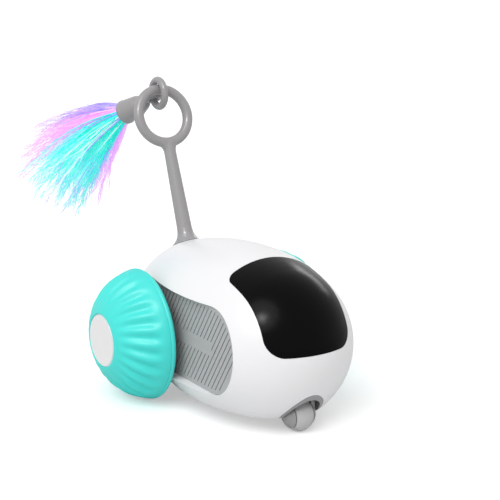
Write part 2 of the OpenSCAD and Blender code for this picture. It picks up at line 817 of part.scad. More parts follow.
module caster_fork() {
    color(GREY) translate([0, -caster_y, 0]) difference() {
        union() {
            translate([0, 0, fork_top - crown_t]) cylinder(r = fork_r, h = crown_t);
            translate([0, 0, fork_top - e]) cylinder(d = stem_d, h = stem_top - fork_top + e);
            for (s = [-1, 1]) translate([s * leg_in, caster_trail, roller_z]) {
                rotate([0, s * 90, 0]) leg_dome();
                translate([min(0, s * strut_t), -strut_w / 2, 0])
                    cube([strut_t, strut_w, fork_top - crown_t + e - roller_z]);
            }
        }
        translate([-pin_len / 2, caster_trail, roller_z]) rotate([0, 90, 0])
            cylinder(d = roller_pin_d, h = pin_len);
        translate([0, 0, stem_top - stem_bore]) cylinder(d = screw_d, h = stem_bore + 1);
    }
}

// Dome at the end of a fork leg
module leg_dome() {
    dome_r = (pow(leg_d / 2, 2) + pow(leg_t, 2)) / (2 * leg_t);
    rotate_extrude() intersection() {
        translate([0, leg_t - dome_r]) circle(r = dome_r, $fn = 96);
        square([leg_d / 2, leg_t]);
    }
}

module caster_roller() {
    drop = (roller_d - leg_d) / 2 - roller_lip;
    crown = (pow(roller_w / 2, 2) + pow(drop, 2)) / (2 * drop);
    color([0.66, 0.66, 0.67]) translate([0, roller_y, roller_z]) rotate([0, 90, 0])
    rotate_extrude($fn = 96) difference() {
        intersection() {
            translate([roller_d / 2 - crown, 0]) circle(r = crown);
            translate([0, -roller_w / 2]) square([roller_d / 2 + 1, roller_w]);
        }
        translate([0, -roller_w]) square([roller_pin_d / 2 + run_gap, 2 * roller_w]);
    }
}

module caster_pin() {
    color("silver") translate([-pin_len / 2, roller_y, roller_z]) rotate([0, 90, 0])
        cylinder(d = roller_pin_d, h = pin_len);
}

module caster_screw() {
    color("silver") translate([0, -caster_y, stem_top]) {
        translate([0, 0, 1 - stem_bore]) cylinder(d = screw_d, h = stem_bore - 1);
        cylinder(d = stem_d + 3, h = washer_t);
        translate([0, 0, washer_t - e]) cylinder(d = head_d, h = head_h);
    }
}

// Tail and lure

ring_mid_r = (ring_d - ring_t) / 2;
rod_len = tail_len - ring_mid_r;
nut_h = 2.4;
nut_d = 11;
plug_end = 4;
nut_gap = 2.6;
neck_reach = 4.6;
flare_sink = 0.5;
flare_cut = 0.35;
module tail() {
    flare_w = (flare_d - tail_root_d) / 2;
    flare_r = (pow(flare_w, 2) + pow(flare_h, 2)) / (2 * flare_w);
    color(GREY) {
        difference() {
            along_tail() {
                cylinder(d1 = tail_root_d, d2 = tail_tip_d, h = rod_len);
                rotate_extrude() difference() {
                    translate([0, -flare_w]) square([flare_d / 2, flare_w + flare_h]);
                    translate([tail_root_d / 2 + flare_r, flare_h - flare_sink]) circle(r = flare_r);
                    translate([tail_root_d / 2 - flare_cut, flare_h - flare_sink]) square([flare_d, flare_h]);
                }
            }
            rear_ball(run_gap);
        }
        along_tail() translate([0, 0, -wall - nut_h - plug_end])
            cylinder(d = plug_d, h = wall + nut_h + 2 * plug_end);
        along_tail() translate([0, 0, tail_len]) rotate([90, 0, 0])
            rotate_extrude() translate([ring_mid_r, 0]) circle(d = ring_t);
        along_tail() translate([0, 0, rod_len]) neck();
    }
}

// Web that blends the rod into the ring
module neck() {
    reach = neck_reach;
    web_t = tail_tip_d - 1.4;
    rotate([90, 0, 0]) translate([0, 0, -web_t / 2]) linear_extrude(web_t) difference() {
        translate([-reach, -reach]) square([2 * reach, reach + 1]);
        for (s = [-1, 1]) translate([s * (reach + tail_tip_d / 2 - 0.4), -reach]) circle(r = reach);
        translate([0, ring_mid_r]) circle(r = ring_mid_r);
    }
}

module tail_nut() {
    color("dimgray") along_tail() translate([0, 0, -wall - nut_h - nut_gap]) difference() {
        cylinder(d = nut_d, h = nut_h, $fn = 6);
        translate([0, 0, -1]) cylinder(d = plug_d, h = nut_h + 2);
    }
}

// Points and directions of the chain: ring top, link, eye and cap
ring_top = tail_root + (tail_len + ring_mid_r) * tail_dir;
link_mid_r = (link_d - link_t) / 2;
link_mid = ring_top - [0, 0, link_mid_r - link_t / 2 - ring_t / 2 - chain_gap];
eye_at = link_mid + link_mid_r * [0, sin(eye_place), -cos(eye_place)];
eye_mid_r = link_t / 2 + chain_gap + eye_t / 2;

// Places a shape drawn along +Z along the lure, from its eye, with its X along the eye's axis
module along_lure() {
    translate(eye_at) rotate([eye_place - 90, 0, 0]) rotate([0, 0, -lure_turn])
        rotate([0, -90, 0]) children();
}

module link_ring() {
    color(GREY) translate(link_mid) rotate([0, 90, 0])
        rotate_extrude() translate([link_mid_r, 0]) circle(d = link_t);
}

module lure_cap() {
    neck_z = eye_mid_r + eye_t / 2 - 0.4;
    color(GREY) along_lure() {
        rotate([0, 90, 0]) rotate_extrude() translate([eye_mid_r, 0]) circle(d = eye_t);
        rotate_extrude() difference() {
            polygon([
                [0, neck_z],
                [cap_neck_d / 2 - 0.8, neck_z],
                [cap_neck_d / 2, neck_z + 1.2],
                [cap_neck_d / 2 + 1.6, cap_len * 0.5],
                [cap_mouth_d / 2 - 0.3, cap_len - 2.4],
                [cap_mouth_d / 2, cap_len - 1.6],
                [cap_mouth_d / 2 - 0.2, cap_len],
                [0, cap_len]
            ]);
            translate([0, cap_len - mouth_depth]) square([mouth_r, mouth_depth + e]);
        }
    }
}

// Feather strands: spikes that fan out from a dished backing seated in the cap's mouth

mouth_r = cap_mouth_d / 2 - 1;
backing_out = (mouth_r - fit_gap) / sin(fan_half);
backing_in = backing_out - 1.2;
fan_apex = cap_len - 0.2 - backing_out * cos(fan_half);
fan_cells = 18;
// Downwards, seen along the lure
sag_dir = [-sin(eye_place), cos(lure_turn) * cos(eye_place), sin(lure_turn) * cos(eye_place)];
strand_rings = [[0.4, 0.36], [0.75, 0.2]];
strand_seed = 7;
strand_share = rands(0.72, 1, fan_cells * fan_cells, strand_seed);

// Direction of a place in the fan, given across and up from -1 to 1
function fan_dir(u, v) =
    let (p = [v * sqrt(1 - u * u / 2), u * sqrt(1 - v * v / 2)],
         far = max(norm(p), 0.0001),
         tilt = fan_half * norm(p))
    [sin(tilt) * p[0] / far, sin(tilt) * p[1] / far, cos(tilt)];

// Point of the fan at a distance from its apex, drooping with the square of the strand's length
function fan_point(dir, s) =
    [0, 0, fan_apex] + s * dir + sag_dir * strand_droop * pow(max(0, s - backing_out) / strand_len, 2);

// One block of strands between two rows of the fan, on its own slice of backing
module strand_block(row_a, row_b) {
    rows = row_b - row_a;
    gap = 0.006;
    low = -1 + 2 * row_a / fan_cells + gap;
    high = -1 + 2 * row_b / fan_cells - gap;
    across_n = fan_cells + 1;
    layer = across_n * (rows + 1);
    dirs = [for (j = [0:rows], i = [0:fan_cells])
        fan_dir(-1 + 2 * i / fan_cells, low + (high - low) * j / rows)];
    cells = [for (j = [0:rows - 1], i = [0:fan_cells - 1])
        [j * across_n + i, j * across_n + i + 1, (j + 1) * across_n + i + 1, (j + 1) * across_n + i]];
    strands = [for (c = [0:len(cells) - 1])
        let (corners = [for (k = cells[c]) dirs[k]],
             mid = (corners[0] + corners[1] + corners[2] + corners[3]) / 4,
             length = strand_len * strand_share[row_a * fan_cells + c])
        each concat(
            [for (ring = strand_rings, d = corners)
                fan_point(mid + (d - mid) * ring[1], backing_out + length * ring[0])],
            [fan_point(mid, backing_out + length)])];
    back = [for (d = dirs) fan_point(d, backing_in)];
    face = [for (d = dirs) fan_point(d, backing_out)];
    points = concat(back, face, strands);
    spikes = [for (c = [0:len(cells) - 1], k = [0:3])
        let (n = (k + 1) % 4, first = 2 * layer + 9 * c, b = [layer + cells[c][k], layer + cells[c][n]])
        each [[first + n, first + k, b[0]], [first + n, b[0], b[1]],
              [first + 4 + n, first + 4 + k, first + k], [first + 4 + n, first + k, first + n],
              [first + 8, first + 4 + k, first + 4 + n]]];
    floors = [for (c = cells) each [[c[3], c[2], c[1]], [c[3], c[1], c[0]]]];
    rim = concat(
        [for (i = [0:fan_cells - 1]) [i, i + 1]],
        [for (j = [0:rows - 1]) [j * across_n + fan_cells, (j + 1) * across_n + fan_cells]],
        [for (i = [fan_cells:-1:1]) [rows * across_n + i, rows * across_n + i - 1]],
        [for (j = [rows:-1:1]) [j * across_n, (j - 1) * across_n]]);
    walls = [for (r = rim) each [[layer + r[1], layer + r[0], r[0]], [layer + r[1], r[0], r[1]]]];
    along_lure() polyhedron(points, concat(spikes, floors, walls));
}

module feathers_violet() {
    color([0.71, 0.67, 0.98]) strand_block(14, 18);
}

module feathers_pink() {
    color([0.94, 0.7, 0.98]) {
        strand_block(10, 14);
        strand_block(0, 4);
    }
}

module feathers_teal() {
    color([0.1, 0.94, 0.88]) strand_block(4, 10);
}

// Electrics

battery_l = frame_front - battery_rear - fence_t - fit_gap - battery_y;
battery_w = 2 * (cover_screw_at[1][0] - boss_d / 2 - battery_side);
main_rear = 10;
main_y = main_rear - main_l;
main_screw_y = [main_y + 8, main_rear - 12];
board_face = [1, 1] * (frame_top + board_t);
// Chips on the main board: both sides, front and rear from the board's front edge, and height
chips = [[4, 11, 12, 19, 1], [-12, -5, 22, 30, 1.6]];
board_screw_in = 4;
module battery() {
    color("steelblue") translate([-battery_w / 2, battery_y, cover_top])
        cube([battery_w, battery_l, battery_h]);
}

module main_board() {
    color("darkgreen") difference() {
        union() {
            box([-main_w / 2, main_w / 2], [main_y, main_y + main_l], [frame_top, frame_top + board_t]);
            for (c = chips)
                box([c[0], c[1]], [main_y + c[2], main_y + c[3]], board_face + [-e, c[4]]);
        }
        for (y = main_screw_y) translate([0, y, 0]) cylinder(d = screw_d + 2 * fit_gap, h = big);
    }
}

module board_screws() {
    color("silver") for (y = main_screw_y)
        translate([0, y, frame_top + board_t]) rotate([180, 0, 0]) screw(board_t + board_screw_in);
}

// Outline of the charging port, drawn along +Y
module port_shape(grow, depth) {
    half = port_h / 2 + grow;
    rotate([-90, 0, 0]) linear_extrude(depth) {
        square([port_w - port_h, 2 * half], center = true);
        for (s = [-1, 1]) translate([s * (port_w - port_h) / 2, 0]) circle(r = half);
    }
}

rear_half_w = 9;
rear_low = 14;
rear_high = 6;
module rear_board() {
    color("darkgreen") difference() {
        translate([0, rear_board_y, body_axis_z])
            box([-rear_half_w, rear_half_w], [-board_t, 0], [-rear_low, rear_high]);
        for (x = rear_boss_at) translate([x, 0, body_axis_z]) rotate([-90, 0, 0])
            cylinder(d = screw_d + 2 * fit_gap, h = big);
    }
}

module rear_board_screws() {
    color("silver") for (x = rear_boss_at)
        translate([x, rear_board_y - board_t, body_axis_z]) rotate([-90, 0, 0])
            screw(board_t + rear_screw_in);
}

port_sunk = 0.6;
port_wall = 0.5;
port_floor = 2;
port_mouth = rear_mid - widest_y + sqrt(pow(rear_r, 2) - pow(port_drop, 2)) - port_sunk;
module charge_port() {
    color("silver") translate([0, rear_board_y, body_axis_z - port_drop]) difference() {
        port_shape(0, port_mouth - rear_board_y);
        translate([0, port_floor, 0]) port_shape(-port_wall, big);
    }
}

switch_h = 2.6;
switch_half = 3;
switch_gap = 0.2;
module power_switch() {
    color([0.2, 0.2, 0.2]) translate([0, rear_board_y, body_axis_z])
        box([-switch_half, switch_half], [0, switch_h], [-switch_half, switch_half]);
}

button_proud = 0.8;
flange_y = rear_board_y + switch_h + button_travel + switch_gap;
flange_t = 1.2;
module power_button() {
    color(TEAL) translate([0, flange_y, body_axis_z]) rotate([-90, 0, 0]) {
        cylinder(d = button_d, h = rear_y + button_proud - flange_y);
        cylinder(d = button_d + 2, h = flange_t);
    }
}

sensor_y = rib_y - board_t;
sensor_half_w = 18.6;
sensor_half_h = 5;
lamp_pitch = 8;
lamp_collar = 2;
module sensor_board() {
    color("darkgreen") translate([-sensor_half_w, sensor_y, sensor_z - sensor_half_h])
        cube([2 * sensor_half_w, board_t, 2 * sensor_half_h]);
}

module infrared_lamps() {
    color([0.35, 0.3, 0.4]) for (i = [-1:1])
    translate([i * lamp_pitch, sensor_y, sensor_z]) rotate([90, 0, 0]) {
        cylinder(d = led_d, h = lamp_collar);
        translate([0, 0, lamp_collar - e]) intersection() {
            sphere(d = led_d);
            cylinder(d = led_d, h = led_d);
        }
    }
}

body_shell();
bottom_cover();
visor();
side_panel(true);  // side_panel_right
side_panel(false);  // side_panel_left
gear_frame();
motor(true);  // motor_right
motor(false);  // motor_left
motor_pinion(true);  // motor_pinion_right
motor_pinion(false);  // motor_pinion_left
compound_gear(true);  // compound_gear_right
compound_gear(false);  // compound_gear_left
final_gear(true);  // final_gear_right
final_gear(false);  // final_gear_left
gear_pins();
axle(true);  // axle_right
axle(false);  // axle_left
axle_bushes();
wheel(true);  // wheel_right
wheel(false);  // wheel_left
wheel_back(true);  // wheel_back_right
wheel_back(false);  // wheel_back_left
hub_cap(true);  // hub_cap_right
hub_cap(false);  // hub_cap_left
wheel_screw(true);  // wheel_screw_right
wheel_screw(false);  // wheel_screw_left
battery();
main_board();
board_screws();
rear_board();
rear_board_screws();
charge_port();
power_switch();
power_button();
sensor_board();
infrared_lamps();
caster_housing();
caster_fork();
caster_roller();
caster_pin();
caster_screw();
tail();
tail_nut();
link_ring();
lure_cap();
feathers_teal();
feathers_pink();
feathers_violet();
cover_screws();
frame_screws();
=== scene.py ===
import json
import math
import random

import bmesh
import bpy
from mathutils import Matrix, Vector

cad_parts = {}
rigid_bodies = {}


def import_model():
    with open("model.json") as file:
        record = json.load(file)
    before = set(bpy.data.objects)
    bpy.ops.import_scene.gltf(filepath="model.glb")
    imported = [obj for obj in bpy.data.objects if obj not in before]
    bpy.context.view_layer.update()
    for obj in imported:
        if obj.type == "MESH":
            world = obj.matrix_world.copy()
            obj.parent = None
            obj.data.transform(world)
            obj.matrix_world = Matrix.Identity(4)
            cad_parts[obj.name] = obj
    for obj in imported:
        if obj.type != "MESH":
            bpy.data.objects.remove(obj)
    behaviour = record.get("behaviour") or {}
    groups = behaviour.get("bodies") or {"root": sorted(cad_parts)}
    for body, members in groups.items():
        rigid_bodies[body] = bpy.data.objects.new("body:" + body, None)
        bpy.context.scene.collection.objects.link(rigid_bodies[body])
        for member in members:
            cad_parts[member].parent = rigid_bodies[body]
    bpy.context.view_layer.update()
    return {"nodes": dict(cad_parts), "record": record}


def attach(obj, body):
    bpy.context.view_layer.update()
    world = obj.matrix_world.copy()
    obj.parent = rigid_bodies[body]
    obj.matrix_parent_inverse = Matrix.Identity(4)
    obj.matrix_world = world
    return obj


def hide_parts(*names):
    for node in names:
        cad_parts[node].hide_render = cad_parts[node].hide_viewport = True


for leftover in list(bpy.data.objects):  # start from an empty file
    bpy.data.objects.remove(leftover)
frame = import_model()
nodes = frame["nodes"]
scene = bpy.context.scene
print("stage: frame loaded")


class Graph:  # short calls for building shader and geometry trees
    def __init__(self, tree):
        self.tree = tree

    def node(self, kind, **settings):
        made = self.tree.nodes.new(kind)
        for key, value in settings.items():
            setattr(made, key, value)
        return made

    def feed(self, socket, value):
        if isinstance(value, bpy.types.NodeSocket):
            self.tree.links.new(value, socket)
        else:
            socket.default_value = value

    def put(self, made, **values):
        for key, value in values.items():
            socket = [s for s in made.inputs if s.name == key.replace("_", " ") and s.enabled][0]
            self.feed(socket, value)
        return made

    def calc(self, operation, *values):
        made = self.node("ShaderNodeMath", operation=operation)
        for socket, value in zip(made.inputs, values):
            self.feed(socket, value)
        return made.outputs[0]

    def vector(self, operation, *values):
        made = self.node("ShaderNodeVectorMath", operation=operation)
        for socket, value in zip(made.inputs, values):
            self.feed(socket, value)
        return made

    def ramp(self, value, low, high, toLow=0.0, toHigh=1.0):
        made = self.node("ShaderNodeMapRange", interpolation_type="SMOOTHSTEP")
        for socket, given in zip(made.inputs, (value, low, high, toLow, toHigh)):
            self.feed(socket, given)
        return made.outputs[0]

    def noise(self, place, scale, detail=3.0):
        made = self.node("ShaderNodeTexNoise")
        self.put(made, Vector=place, Scale=scale, Detail=detail)
        return made.outputs[0]

    def blend(self, share, first, second):
        made = self.node("ShaderNodeMix", data_type="RGBA")
        for index, value in ((0, share), (6, first), (7, second)):
            self.feed(made.inputs[index], value)
        return made.outputs[2]


def newTree(name, kind, inputs, outputs):
    tree = bpy.data.node_groups.new(name, kind)
    for label, sort, value in inputs:
        socket = tree.interface.new_socket(label, in_out="INPUT", socket_type=sort)
        if value is not None:
            socket.default_value = value
    for label, sort in outputs:
        tree.interface.new_socket(label, in_out="OUTPUT", socket_type=sort)
    graph = Graph(tree)
    return graph, graph.node("NodeGroupInput"), graph.node("NodeGroupOutput")


number, tone, shape = "NodeSocketFloat", "NodeSocketColor", "NodeSocketGeometry"
skinSizes = {
    "broad": 38.0, "flow": 260.0, "dull": 0.86,  # cloud and flow noise scales, darkest share of the colour
    "cloud": (0.35, 0.75), "sparkle": 0.05, "flowShare": 0.35,
}


def makeSkinGroup():  # moulded plastic: faint clouds, smudges and grain
    size = skinSizes
    inputs = [("Colour", tone, (1, 1, 1, 1)), ("Roughness", number, 0.4), ("Grain", number, 2200.0),
              ("Smudge", number, 0.1), ("Tone", number, 0.05)]
    g, given, made = newTree("mouldedSkin", "ShaderNodeTree", inputs,
                             [("Colour", tone), ("Roughness", number), ("Height", number)])
    place = g.node("ShaderNodeTexCoord").outputs["Object"]
    broad = g.noise(place, size["broad"], 4.0)
    flow = g.noise(place, size["flow"], 2.0)
    fine = g.noise(place, given.outputs["Grain"], 2.0)
    dull = g.vector("SCALE", given.outputs["Colour"])
    g.feed(dull.inputs["Scale"], size["dull"])
    share = g.calc("MULTIPLY", g.ramp(broad, *size["cloud"]), given.outputs["Tone"])
    g.feed(made.inputs["Colour"], g.blend(share, given.outputs["Colour"], dull.outputs[0]))
    smudge = g.calc("SUBTRACT", broad, 0.5)
    rough = g.calc("MULTIPLY_ADD", smudge, given.outputs["Smudge"], given.outputs["Roughness"])
    sparkle = g.calc("SUBTRACT", fine, 0.5)
    g.feed(made.inputs["Roughness"], g.calc("MULTIPLY_ADD", sparkle, size["sparkle"], rough))
    g.feed(made.inputs["Height"], g.calc("MULTIPLY_ADD", flow, size["flowShare"], fine))
    return g.tree


skinGroup = makeSkinGroup()
plainLook = {"grain": 2200.0, "smudge": 0.1, "tone": 0.05, "bump": 0.06, "depth": 0.0002, "shader": {}}


def moulded(name, given):
    look = {**plainLook, **given}
    mat = bpy.data.materials.new(name)
    mat.use_nodes = True
    mat.node_tree.nodes.clear()
    g = Graph(mat.node_tree)
    skin = g.node("ShaderNodeGroup", node_tree=skinGroup)
    g.put(skin, Colour=(*look["colour"], 1), Roughness=look["roughness"], Grain=look["grain"],
          Smudge=look["smudge"], Tone=look["tone"])
    bump = g.node("ShaderNodeBump")
    g.put(bump, Strength=look["bump"], Distance=look["depth"], Height=skin.outputs["Height"])
    shader = g.node("ShaderNodeBsdfPrincipled")
    g.put(shader, Base_Color=skin.outputs["Colour"], Roughness=skin.outputs["Roughness"],
          Normal=bump.outputs[0])
    for key, value in look["shader"].items():
        shader.inputs[key].default_value = value
    g.feed(g.node("ShaderNodeOutputMaterial").inputs[0], shader.outputs[0])
    return mat


looks = {
    "shell_white": {"colour": (0.88, 0.88, 0.89), "roughness": 0.34, "smudge": 0.08,
                    "tone": 0.03, "bump": 0.03},
    "visor_black": {"colour": (0.0015, 0.0015, 0.0015), "roughness": 0.22, "smudge": 0.04,
                    "bump": 0.004, "shader": {"Specular IOR Level": 0.06}},
    "panel_grey": {"colour": (0.44, 0.44, 0.445), "roughness": 0.55, "grain": 3200.0,
                   "bump": 0.12, "tone": 0.1},
    "wheel_teal": {"colour": (0.055, 0.77, 0.71), "roughness": 0.46, "grain": 2600.0, "bump": 0.05},
    # wheel_back_dark is partly painted shade: the backing plate is a real part, but its near-black colour
    # stands in for the shadow in the gap between wheel and side panel
    "wheel_back_dark": {"colour": (0.012, 0.012, 0.013), "roughness": 0.6, "bump": 0.1},
    "hub_white": {"colour": (0.86, 0.84, 0.845), "roughness": 0.4, "bump": 0.03},
    "frame_dark": {"colour": (0.03, 0.03, 0.033), "roughness": 0.6, "bump": 0.12},
    "gear_ivory": {"colour": (0.78, 0.74, 0.6), "roughness": 0.45},
    "brass": {"colour": (0.78, 0.55, 0.2), "roughness": 0.32, "shader": {"Metallic": 1.0}},
    "steel": {"colour": (0.6, 0.6, 0.62), "roughness": 0.3, "shader": {"Metallic": 1.0}},
    "battery_wrap": {"colour": (0.03, 0.1, 0.32), "roughness": 0.28},
    "board_green": {"colour": (0.01, 0.13, 0.04), "roughness": 0.4, "bump": 0.15},
    "lamp_clear": {"colour": (0.08, 0.05, 0.12), "roughness": 0.15},
    "caster_grey": {"colour": (0.33, 0.325, 0.33), "roughness": 0.42, "bump": 0.08},
    "roller_grey": {"colour": (0.53, 0.525, 0.53), "roughness": 0.36, "bump": 0.06},
    "tail_grey": {"colour": (0.335, 0.325, 0.33), "roughness": 0.26, "grain": 3000.0,
                  "bump": 0.08, "tone": 0.08},
    "nut_dark": {"colour": (0.05, 0.05, 0.05), "roughness": 0.5},
}
materials = {name: moulded(name, look) for name, look in looks.items()}
slotOf = {entry["node"]: entry["material_slot"] for entry in frame["record"]["subparts"]}
bodyOf = {node: body for body, members in frame["record"]["behaviour"]["bodies"].items() for node in members}
for name, node in nodes.items():
    if slotOf[name] in materials:
        node.data.materials.clear()
        node.data.materials.append(materials[slotOf[name]])
print("stage: materials")


def settle(obj):  # bake the modifiers into a plain mesh
    graph = bpy.context.evaluated_depsgraph_get()
    mesh = bpy.data.meshes.new_from_object(obj.evaluated_get(graph))
    obj.modifiers.clear()
    obj.data = mesh
    return obj


def stand(obj, *names):  # take the place of CAD nodes, on their body
    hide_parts(*names)
    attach(obj, bodyOf[names[0]])


def addMesh(name, mesh):
    obj = bpy.data.objects.new(name, mesh)
    scene.collection.objects.link(obj)
    return obj


edgeFinish = {"weld": 2e-6, "softness": 0.5, "bevelSteps": 3, "bevelEdge": 40, "sharp": 28}


def refined(name, piece):  # same form as the node, with cleaner edges and shading
    mesh = nodes[name].data.copy()
    if "custom_normal" in mesh.attributes:
        mesh.attributes.remove(mesh.attributes["custom_normal"])
    work = bmesh.new()
    work.from_mesh(mesh)
    bmesh.ops.remove_doubles(work, verts=work.verts, dist=edgeFinish["weld"])
    bmesh.ops.recalc_face_normals(work, faces=work.faces)
    work.to_mesh(mesh)
    work.free()
    obj = addMesh(piece["label"], mesh)
    mesh.materials.clear()
    mesh.materials.append(materials[slotOf[name]])
    if "remesh" in piece:
        remesh = obj.modifiers.new("remesh", "REMESH")
        remesh.mode = "VOXEL"
        remesh.voxel_size = piece["remesh"]
        remesh.use_smooth_shade = True
        soft = obj.modifiers.new("soft", "SMOOTH")
        soft.iterations = piece["passes"]
        soft.factor = edgeFinish["softness"]
    if "bevel" in piece:
        bevel = obj.modifiers.new("bevel", "BEVEL")
        bevel.width = piece["bevel"]
        bevel.segments = edgeFinish["bevelSteps"]
        bevel.limit_method = "ANGLE"
        bevel.angle_limit = math.radians(edgeFinish["bevelEdge"])
        bevel.use_clamp_overlap = True
    settle(obj)
    obj.data.shade_smooth()
    if "remesh" not in piece:
        obj.data.set_sharp_from_angle(angle=math.radians(piece.get("sharp", edgeFinish["sharp"])))
    weigh = obj.modifiers.new("weigh", "WEIGHTED_NORMAL")
    weigh.keep_sharp = True
    settle(obj)
    obj.data.materials.clear()
    obj.data.materials.append(materials[slotOf[name]])
    stand(obj, name)
    return obj


casing = {
    "body_shell": {"label": "bodyShell", "sharp": 24},
    "bottom_cover": {"label": "bottomCover"},
    "visor": {"label": "visorPane", "sharp": 30},
    "side_panel_right": {"label": "sidePanelRight"},
    "side_panel_left": {"label": "sidePanelLeft"},
    "caster_housing": {"label": "casterHousing"},
    "caster_fork": {"label": "casterFork", "bevel": 0.0004},
    "caster_roller": {"label": "casterRoller"},
    "hub_cap_right": {"label": "hubCapRight"},
    "hub_cap_left": {"label": "hubCapLeft"},
    "power_button": {"label": "powerButton", "bevel": 0.0004},
    "tail": {"label": "tailRod", "remesh": 0.00035, "passes": 14},
    "link_ring": {"label": "linkRing"},
    "lure_cap": {"label": "lureCap", "remesh": 0.00025, "passes": 8},
}
for name, piece in casing.items():
    refined(name, piece)
print("stage: casing")


wheelSizes = {
    "axleZ": 0.028, "rimR": 0.0277, "outerR": 0.028, "hubR": 0.0116, "seatR": 0.0113, "tubeR": 0.00415,
    "faceX": 0.0532, "rimX": 0.035, "backX": 0.0324, "seatX": 0.0516, "wall": 0.002,
    "domeMid": (0.00415, 0.0304), "domeR": 0.024, "domeSteps": 56,
    "lipR": 0.0013, "lipFrom": 58, "lipTurn": 148, "lipSteps": 14, "innerSteps": 8,
    "turns": 288, "flutes": 24, "depth": 0.0013, "swirl": 0.34, "sharp": 38,
    "easing": (0.0002, 0.0001, 0.00005), "groove": (0.0003, 0.00015),
}


def wheelOutline(size):  # half section as radius, x and 1 where the dome is fluted
    midR, midX = size["domeMid"]
    start = math.atan2(size["hubR"] - midR, size["faceX"] - midX)
    stop = math.atan2(size["rimR"] - midR, size["rimX"] - midX)
    inner = size["domeR"] - size["wall"]
    lip = size["lipR"]
    backR = size["outerR"] - 2 * lip
    below, aside, near = size["easing"]
    points = [(size["tubeR"], size["seatX"], 0), (size["seatR"], size["seatX"], 0),
              (size["seatR"], size["faceX"] - below, 0), (size["seatR"] + aside, size["faceX"] - near, 0)]
    for i in range(size["domeSteps"] + 1):
        turn = start + (stop - start) * i / size["domeSteps"]
        points.append((midR + size["domeR"] * math.sin(turn), midX + size["domeR"] * math.cos(turn), 1))
    points.append((size["rimR"] - size["groove"][0], size["rimX"] - size["groove"][1], 0))
    for i in range(size["lipSteps"] + 1):
        turn = math.radians(size["lipFrom"] - size["lipTurn"] * i / size["lipSteps"])
        points.append((size["outerR"] - lip + lip * math.cos(turn),
                       size["backX"] + lip + lip * math.sin(turn), 0))
    points.append((backR, size["backX"], 0))
    first = math.asin((backR - midR) / inner)
    last = math.acos((size["seatX"] - size["wall"] - midX) / inner)
    for i in range(size["innerSteps"] + 1):
        turn = first + (last - first) * i / size["innerSteps"]
        points.append((midR + inner * math.sin(turn), midX + inner * math.cos(turn), 0))
    points.append((size["tubeR"], size["seatX"] - size["wall"], 0))
    return points


fluteFade = {"risen": (0.45, 0.85), "gone": (0.9, 0.985), "narrowing": 1.1}  # shares of the rim's radius


def makeFluteTree():
    inputs = [("Geometry", shape, None), ("Flutes", number, 24.0), ("Depth", number, 0.001),
              ("Swirl", number, 0.2), ("Axle", number, 0.028), ("Rim", number, 0.028),
              ("Material", "NodeSocketMaterial", None)]
    g, given, made = newTree("fluteDome", "GeometryNodeTree", inputs, [("Geometry", shape)])
    place = g.node("ShaderNodeSeparateXYZ")
    g.feed(place.inputs[0], g.node("GeometryNodeInputPosition").outputs[0])
    high = g.calc("SUBTRACT", place.outputs["Z"], given.outputs["Axle"])
    away = place.outputs["Y"]
    radius = g.calc("SQRT", g.calc("ADD", g.calc("MULTIPLY", high, high), g.calc("MULTIPLY", away, away)))
    share = g.calc("DIVIDE", radius, given.outputs["Rim"])
    turn = g.calc("ADD", g.calc("ARCTAN2", away, high), g.calc("MULTIPLY", share, given.outputs["Swirl"]))
    ripple = g.calc("COSINE", g.calc("MULTIPLY", turn, given.outputs["Flutes"]))
    wave = g.calc("POWER", g.calc("MULTIPLY_ADD", ripple, 0.5, 0.5), fluteFade["narrowing"])
    fade = g.calc("MULTIPLY", g.ramp(share, *fluteFade["risen"]), g.ramp(share, *fluteFade["gone"], 1.0, 0.0))
    skin = g.node("GeometryNodeInputNamedAttribute", data_type="FLOAT")
    g.put(skin, Name="dome")
    deep = g.calc("MULTIPLY", skin.outputs[0], given.outputs["Depth"])
    cut = g.calc("MULTIPLY", g.calc("MULTIPLY", wave, fade), deep)
    move = g.vector("SCALE", g.node("GeometryNodeInputNormal").outputs[0])
    g.feed(move.inputs["Scale"], g.calc("MULTIPLY", cut, -1.0))
    shaped = g.node("GeometryNodeSetPosition")
    g.put(shaped, Geometry=given.outputs["Geometry"], Offset=move.outputs[0])
    whole = g.node("GeometryNodeRealizeInstances")
    g.feed(whole.inputs[0], shaped.outputs[0])
    dressed = g.node("GeometryNodeSetMaterial")
    g.put(dressed, Geometry=whole.outputs[0], Material=given.outputs["Material"])
    g.feed(made.inputs[0], dressed.outputs[0])
    return g.tree


def applyTree(obj, tree, values):  # run a geometry tree with named inputs
    modifier = obj.modifiers.new("rule", "NODES")
    modifier.node_group = tree
    for item in tree.interface.items_tree:
        if item.item_type == "SOCKET" and item.in_out == "INPUT" and item.name in values:
            modifier[item.identifier] = values[item.name]
    return settle(obj)


fluteTree = makeFluteTree()


